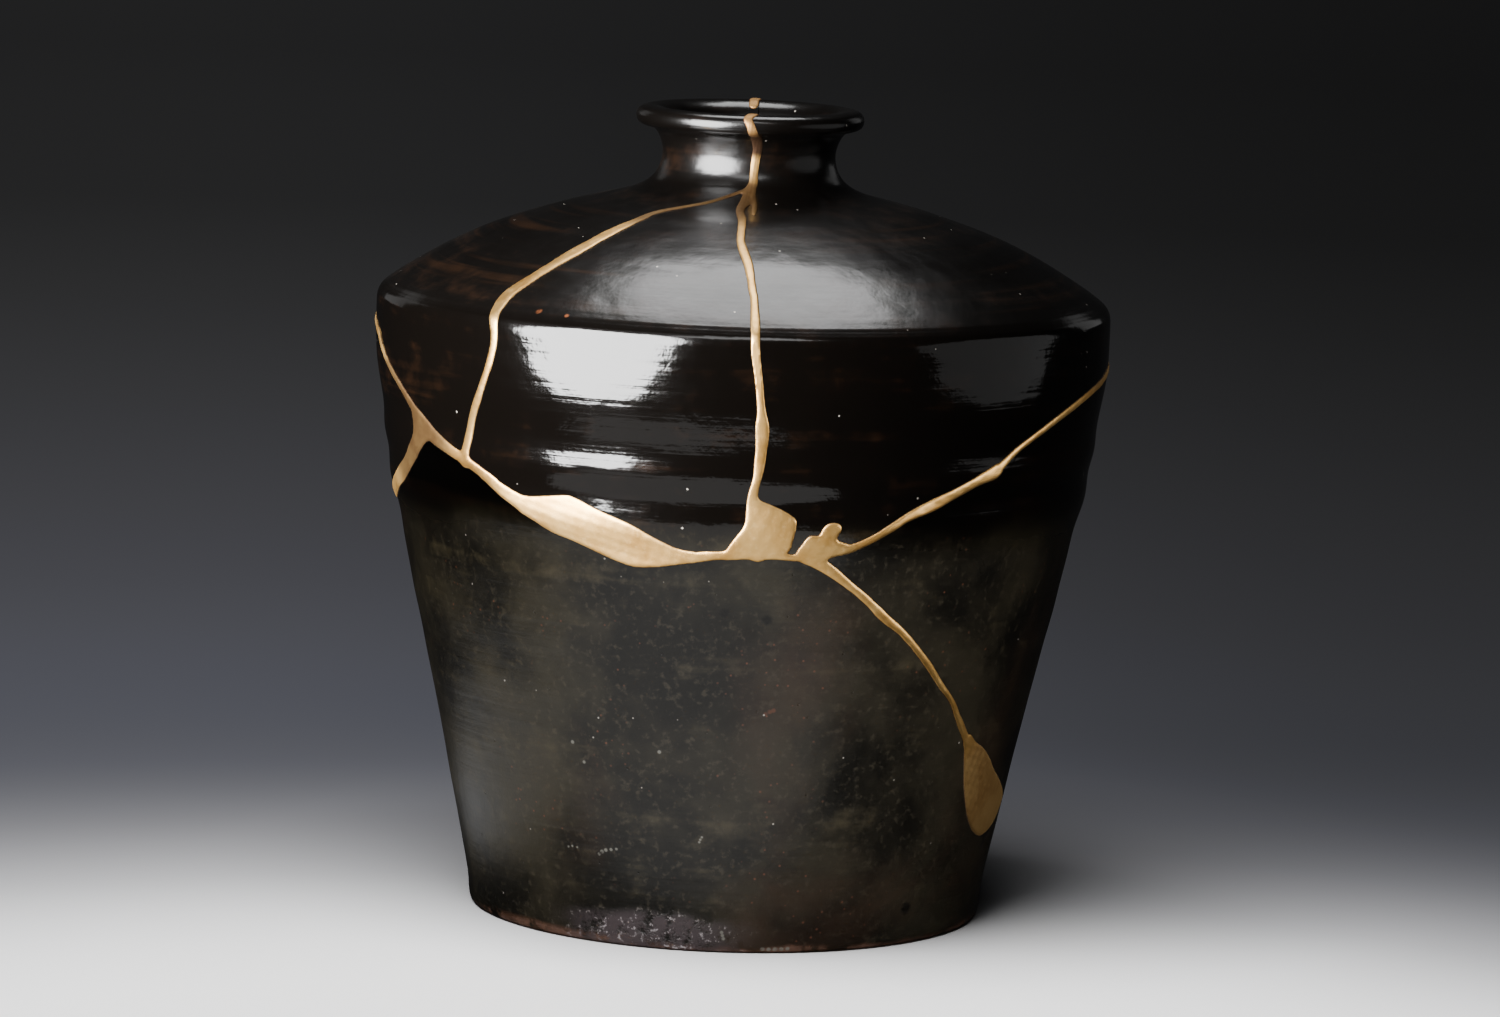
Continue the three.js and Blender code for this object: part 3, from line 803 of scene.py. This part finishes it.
def glaze_finish():
    p = Paint("iron_glaze")
    z = p.z / MM
    drift = p.noise(14, 3, 0.55) - 0.5
    # The glaze is glossy above and satin on the lower wall.
    satin = (z + drift * 16).step(*SATIN)
    bands = p.noise(1, 3, 0.6, 0.4, p.scaled(4, 4, 120))
    fine_bands = p.noise(1, 2, 0.5, 0.2, p.scaled(9, 9, 420))
    cloud = p.noise(22, 4, 0.6, 0.3)
    mottle = p.noise(75, 4, 0.65)
    grain = p.noise(420, 3, 0.6)
    # Colour: near black above, olive and brown below, with rust freckles.
    upper = p.mix((bands * 0.7 + mottle * 0.5).step(0.62, 0.95), BLACK_GLAZE, BROWN_GLAZE)
    brushed = fine_bands.step(0.5, 0.72) * cloud.step(0.3, 0.6)
    brushed = brushed * z.step(*BRUSHED_LOW) * z.step(*BRUSHED_HIGH)
    upper = p.mix(brushed * 0.42, upper, BRUSHED)
    olive = p.mix(cloud.step(0.38, 0.68), DEEP_OLIVE, OLIVE)
    olive = p.mix((mottle * 0.6 + bands * 0.5).step(0.58, 0.82), olive, LIGHT_OLIVE)
    olive = p.mix(grain.step(0.52, 0.74) * 0.5, olive, OLIVE_GRAIN)
    warm = p.mix(p.noise(9, 4, 0.6, 0.5).step(0.52, 0.72) * 0.6, olive, WARM_BROWN)
    colour = p.mix(satin, upper, warm)
    rust = p.specks(300, 0.17) * p.noise(30, 2).step(0.5, 0.62)
    colour = p.mix(rust * satin * 0.7, colour, FRECKLE)
    # The bare clay of the foot, and the gritty kiln bloom over it.
    foot_edge = (z + (p.noise(40, 4, 0.6) - 0.5) * 9).step(3.2, 0.9)
    bare_left = p.near(-38, 2, 40, 0.6) * (z + drift * 8).step(4.5, 2.2)
    bare = foot_edge.most(bare_left) * p.noise(120, 3, 0.7).step(0.36, 0.55)
    clay = p.mix(grain, DARK_CLAY, CLAY)
    colour = p.mix(bare, colour, clay)
    grit_zone = p.near(-16, 5, 42, 0.7) * (z + drift * 14).step(13, 8)
    grit = grit_zone * p.noise(150, 4, 0.75).step(0.36, 0.56)
    colour = p.mix(grit * 0.9, colour, GRIT)
    # Painted glints: pale dots in the grit's colour stand in for its sparkle.
    glints = grit_zone * p.noise(420, 3, 0.7).step(0.57, 0.70)
    colour = p.mix(glints * 0.8, colour, GLINT)
    for degrees, height, reach, spot_colour in SMALL_MARKS:
        spot = p.near(degrees, height, reach, 0.6) * (mottle * 0.7 + grain * 0.5).step(0.42, 0.62)
        colour = p.mix(spot * 0.8, colour, spot_colour)
    under = (z * -1).step(-0.6, -0.05)
    colour = p.mix(under, colour, clay)
    # Small light specks and pits.
    stars = p.specks(95, 0.045)
    colour = p.mix(stars * 0.6, colour, PALE_SPECK)
    dome = z.step(*DOME)
    gloss = 0.06 + mottle * 0.08 + dome * (0.07 + bands * 0.12)
    rough = satin * (0.26 + cloud * 0.18 + grain * 0.06) + (1 - satin) * gloss
    rough = rough.most(bare * 0.75).most(grit * 0.38).most(under * 0.8)
    groove = z.step(*GROOVE_LOW) * z.step(*GROOVE_HIGH)
    relief = bands * 0.9 + fine_bands * 0.5 + cloud * 0.2 - groove * 0.9
    waves = p.noise(38, 2, 0.5, 0.3)
    skin_bump = p.bump(relief + waves * 3.4, 0.16)
    peel = p.noise(170, 3, 0.6) + mottle * 1.6 + p.noise(700, 2) * 0.1
    peel_bump = p.bump(peel, 0.075, skin_bump)
    pits = p.specks(140, 0.07) * satin
    pit_bump = p.bump(pits * -1 + grain * (0.08 + satin * 0.25) + grit * 2, 0.10, peel_bump)
    return p.finish(
        Base_Color=colour, Roughness=rough, IOR=1.5, Normal=pit_bump, Specular_IOR_Level=0.5
    )


# The gold's colours: the powder, the brown lacquer under it, which also serves as painted shade,
# and a dull gold for painted shade.
GOLD = (0.82, 0.50, 0.165)
DEEP_GOLD = (0.60, 0.32, 0.085)
BRIGHT_GOLD = (0.94, 0.68, 0.31)
SHADED_DULL_GOLD = (0.22, 0.14, 0.075)
LACQUER_AND_SHADE = (0.030, 0.014, 0.006)
LIP_LACQUER = (0.085, 0.030, 0.013)

# The heights where the painted shade on the neck below the lip roll and the brown of the lip start
# and are full.
NECK_SHADE, BROWN_LIP = (261.5, 267), (272, 275)
# Where else the gold is thin, where painted shade darkens the right seam's end, and where the
# leaf-shaped patch is duller and painted with shade: degrees, height, reach in millimetres, fade.
THIN_PLACES = [(-22, 249, 38, 0.5), (-64, 175, 38, 0.4), (0, 253, 9, 0.5)]
RIGHT_END_SHADE = (84, 191, 44, 0.5)
SHADED_DULL_LEAF = (66, 48, 34, 0.25)


def gold_finish():
    p = Paint("gold_lacquer")
    depth = p.node("ShaderNodeAttribute", {"attribute_name": "depth"}, {}, "Fac")
    cloud = p.noise(60, 4, 0.6, 0.4)
    fine = p.noise(520, 4, 0.7)
    brush = p.noise(180, 3, 0.6, 0.6)
    powder = p.mix(cloud.step(0.35, 0.7), GOLD, DEEP_GOLD)
    powder = p.mix(fine.step(0.5, 0.75) * 0.3, powder, BRIGHT_GOLD)
    # The gold is thin and brown at the rims, and worn in places.
    rim = (depth + (brush - 0.5) * 0.4).step(0.46, 0.1)
    worn = (cloud * 0.6 + brush * 0.5).step(0.66, 0.78)
    z = p.z / MM
    lip = z.step(*BROWN_LIP)
    # Painted shade: the gold on the neck below the lip roll is darkened to brown; on the lip itself
    # the brown is the red lacquer's own.
    neck = z.step(*NECK_SHADE)
    # Painted shade: the right seam's end by the silhouette is darkened to brown like thin gold; the
    # other places are thin gold.
    thin_and_shaded = p.near(*RIGHT_END_SHADE) * 0.8
    for place in THIN_PLACES:
        thin_and_shaded = thin_and_shaded.most(p.near(*place))
    brown = rim.most(worn * 0.55).most(neck * (1 - lip * 0.25)).most(thin_and_shaded * (0.84 + cloud * 0.16))
    colour = p.mix(brown, powder, p.mix(lip, LACQUER_AND_SHADE, LIP_LACQUER))
    # Painted shade on the leaf-shaped patch, which faces away from the lights; it is also a little
    # rougher.
    leaf = p.near(*SHADED_DULL_LEAF)
    colour = p.mix(leaf * 0.5, colour, SHADED_DULL_GOLD)
    rough = 0.34 + fine * 0.12 + brown * 0.2 + leaf * 0.1
    metal = 1 - brown * 0.15
    bump = p.bump(brush * 0.7 + fine * 0.3, 0.08)
    return p.finish(Base_Color=colour, Roughness=rough, Metallic=metal, Normal=bump)


# The set.

# The camera that takes the picture from the photograph's place: metres, degrees, pixels.
CAMERA_PLACE = (0.0046, -2.3, 0.46)
LOOKS_DOWN, ROLL = 7.925, 2
FOCAL_PIXELS, PHOTO_WIDTH = 6656, 1500
SENSOR = 36

# The middle of the pool of light painted on the floor, and how far from it the painted light fades
# into the backdrop's painted shade, in metres.
LIGHT_POOL_MIDDLE = (-0.02, -0.45, 0)
PAINTED_LIGHT_REACH = 3.5


def pale_sweep():
    """A pale floor that rises all round into a dark grey backdrop, toned with painted light and
    shade.
    """
    line = [(0, 0), (900, 0), (2600, 0), (3300, 60), (3800, 320), (4100, 900), (4200, 2600)]
    points = [(0, -out, up) for out, up in line]
    sweep = new_piece("sweep", points, [(i, i + 1) for i in range(len(points) - 1)])
    edit(sweep)
    bpy.ops.mesh.spin(steps=96, angle=2 * math.pi, center=(0, 0, 0), axis=(0, 0, 1))
    bpy.ops.mesh.select_all(action="SELECT")
    bpy.ops.mesh.remove_doubles(threshold=0.0005)
    bpy.ops.mesh.normals_make_consistent(inside=True)
    bpy.ops.mesh.faces_shade_smooth()
    done()
    p = Paint("sweep_paper")
    far = p.far(LIGHT_POOL_MIDDLE)
    stops = [
        (0.0, (0.86, 0.86, 0.86)), (0.09, (0.86, 0.86, 0.86)), (0.115, (0.68, 0.68, 0.69)),
        (0.14, (0.25, 0.25, 0.26)), (0.17, (0.082, 0.082, 0.089)), (0.206, (0.036, 0.037, 0.045)),
        (0.26, (0.036, 0.037, 0.045)), (0.34, (0.031, 0.031, 0.036)), (0.49, (0.029, 0.029, 0.032)),
        (0.70, (0.030, 0.030, 0.031)), (1.0, (0.037, 0.037, 0.038)),
    ]
    # Painted light: the paper's colour is brightest in a pool in front of the jar and darkens with
    # distance into painted shade on the backdrop.
    painted_light_tone = p.node("ShaderNodeValToRGB", {"stops": stops}, {"Fac": far / PAINTED_LIGHT_REACH})
    painted_light_tone.socket.node.color_ramp.interpolation = "B_SPLINE"
    # Painted shade: the backdrop is darker to the right, away from the light on the left.
    right = (p.x / (p.y - CAMERA_PLACE[1])).step(-0.09, 0.12) * p.y.step(-0.15, 0.4)
    painted_light_tone = p.mix(right * 0.62, painted_light_tone, (0.006, 0.006, 0.006))
    sweep.data.materials.append(p.finish(Base_Color=painted_light_tone, Roughness=0.9, Specular_IOR_Level=0.1))
    return sweep


def softbox(name, azimuth, elevation, distance, wide, tall, power, aim=0.17, shape="RECTANGLE"):
    """A soft light that faces a height on the jar's axis, in degrees, metres and watts."""
    a, e = math.radians(azimuth), math.radians(elevation)
    out = Vector((math.sin(a) * math.cos(e), -math.cos(a) * math.cos(e), math.sin(e)))
    light = bpy.data.lights.new(name, "AREA")
    light.shape, light.size, light.size_y, light.energy = shape, wide, tall, power
    lamp = bpy.data.objects.new(name, light)
    bpy.context.collection.objects.link(lamp)
    lamp.rotation_euler = (-out).to_track_quat("-Z", "Y").to_euler()
    lamp.location = Vector((0, 0, aim)) + out * distance
    lamp.visible_camera = False
    return lamp


def lit_group(name, pieces):
    group = bpy.data.collections.new(name)
    for piece in pieces:
        group.objects.link(piece)
    return group


def light_set(jar_pieces, sweep):
    """Lights for the jar or parts of it and for the floor, kept apart as by a studio's flags."""
    # The body comes first, and the gold is last.
    jar_pieces.sort(key=lambda piece: not piece.name.startswith("body"))
    on_jar = lit_group("lit_jar", jar_pieces)
    on_floor = lit_group("lit_floor", [sweep])
    # The pale floor's sheen on the jar comes from cards on the floor instead.
    sweep.visible_glossy = False
    for_jar = [
        softbox("top_box", 178, 70, 1.5, 0.95, 0.85, 15, shape="ELLIPSE"),
        softbox("front_top_box", 0, 46, 1.6, 1.1, 0.45, 5, shape="ELLIPSE"),
        softbox("right_box", 80, 0, 0.75, 0.8, 0.5, 0.34, 0.27, "ELLIPSE"),
        softbox("back_left_box", -140, 15, 2.2, 0.7, 0.9, 0.5),
        softbox("back_right_box", 140, 15, 2.2, 0.7, 0.9, 0.5),
    ]
    for lamp in for_jar:
        lamp.light_linking.receiver_collection = on_jar
    cards = [(-0.09, -0.31, 0.52, 0.40, 0.38), (-0.2, -0.02, 0.14, 0.24, 0.07)]
    for x, y, wide, deep, power in cards:
        card = softbox("card", 0, 90, 0, wide, deep, power, 0, "ELLIPSE")
        card.location, card.rotation_euler = (x, y, 0.001), (math.pi, 0, 0)
        card.light_linking.receiver_collection = on_jar
    gold_box = softbox("gold_box", 66, 0, 0.8, 0.5, 0.32, 3, 0.17)
    gold_box.light_linking.receiver_collection = lit_group("lit_gold", jar_pieces[-1:])
    above = softbox("front_left_box", -42, 0, 0.6, 0.56, 0.66, 44, 0.36, "ELLIPSE")
    above.light_linking.receiver_collection = lit_group("lit_above", jar_pieces[1:])
    below = softbox("low_box", -27, 0, 0.8, 0.5, 0.5, 4, 0.3)
    below.light_linking.receiver_collection = lit_group("lit_below", jar_pieces[:1])
    for_floor = softbox("floor_box", -30, 72, 2.4, 1.6, 1.6, 190)
    for_floor.light_linking.receiver_collection = on_floor
    world = bpy.data.worlds.new("studio")
    bpy.context.scene.world = world
    world.use_nodes = True
    world.node_tree.nodes["Background"].inputs["Color"].default_value = (0.5, 0.5, 0.52, 1)
    world.node_tree.nodes["Background"].inputs["Strength"].default_value = 0.02


def set_camera():
    camera = bpy.data.objects.new("camera", bpy.data.cameras.new("camera"))
    bpy.context.collection.objects.link(camera)
    camera.data.sensor_width = SENSOR
    camera.data.lens = FOCAL_PIXELS / PHOTO_WIDTH * SENSOR
    camera.data.clip_start, camera.data.clip_end = 0.1, 30
    pitch = Matrix.Rotation(math.radians(90 - LOOKS_DOWN), 4, "X")
    roll = Matrix.Rotation(math.radians(ROLL), 4, "Z")
    camera.matrix_world = Matrix.Translation(CAMERA_PLACE) @ pitch @ roll
    bpy.context.scene.camera = camera


# Putting it together.

jar = turn_jar()
sherds = break_jar(jar)
glaze = glaze_finish()
for node, sherd in sherds.items():
    only(sherd)
    bpy.ops.object.shade_smooth_by_angle(angle=math.radians(GLAZE_CREASE))
    sherd.data.materials.clear()
    sherd.data.materials.append(glaze)
    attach(sherd, "root")
    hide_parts(node)

gold = make_gold()
gold.data.materials.append(gold_finish())
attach(gold, "root")
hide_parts("gold_lacquer")

sweep = pale_sweep()
light_set([*sherds.values(), gold], sweep)
set_camera()
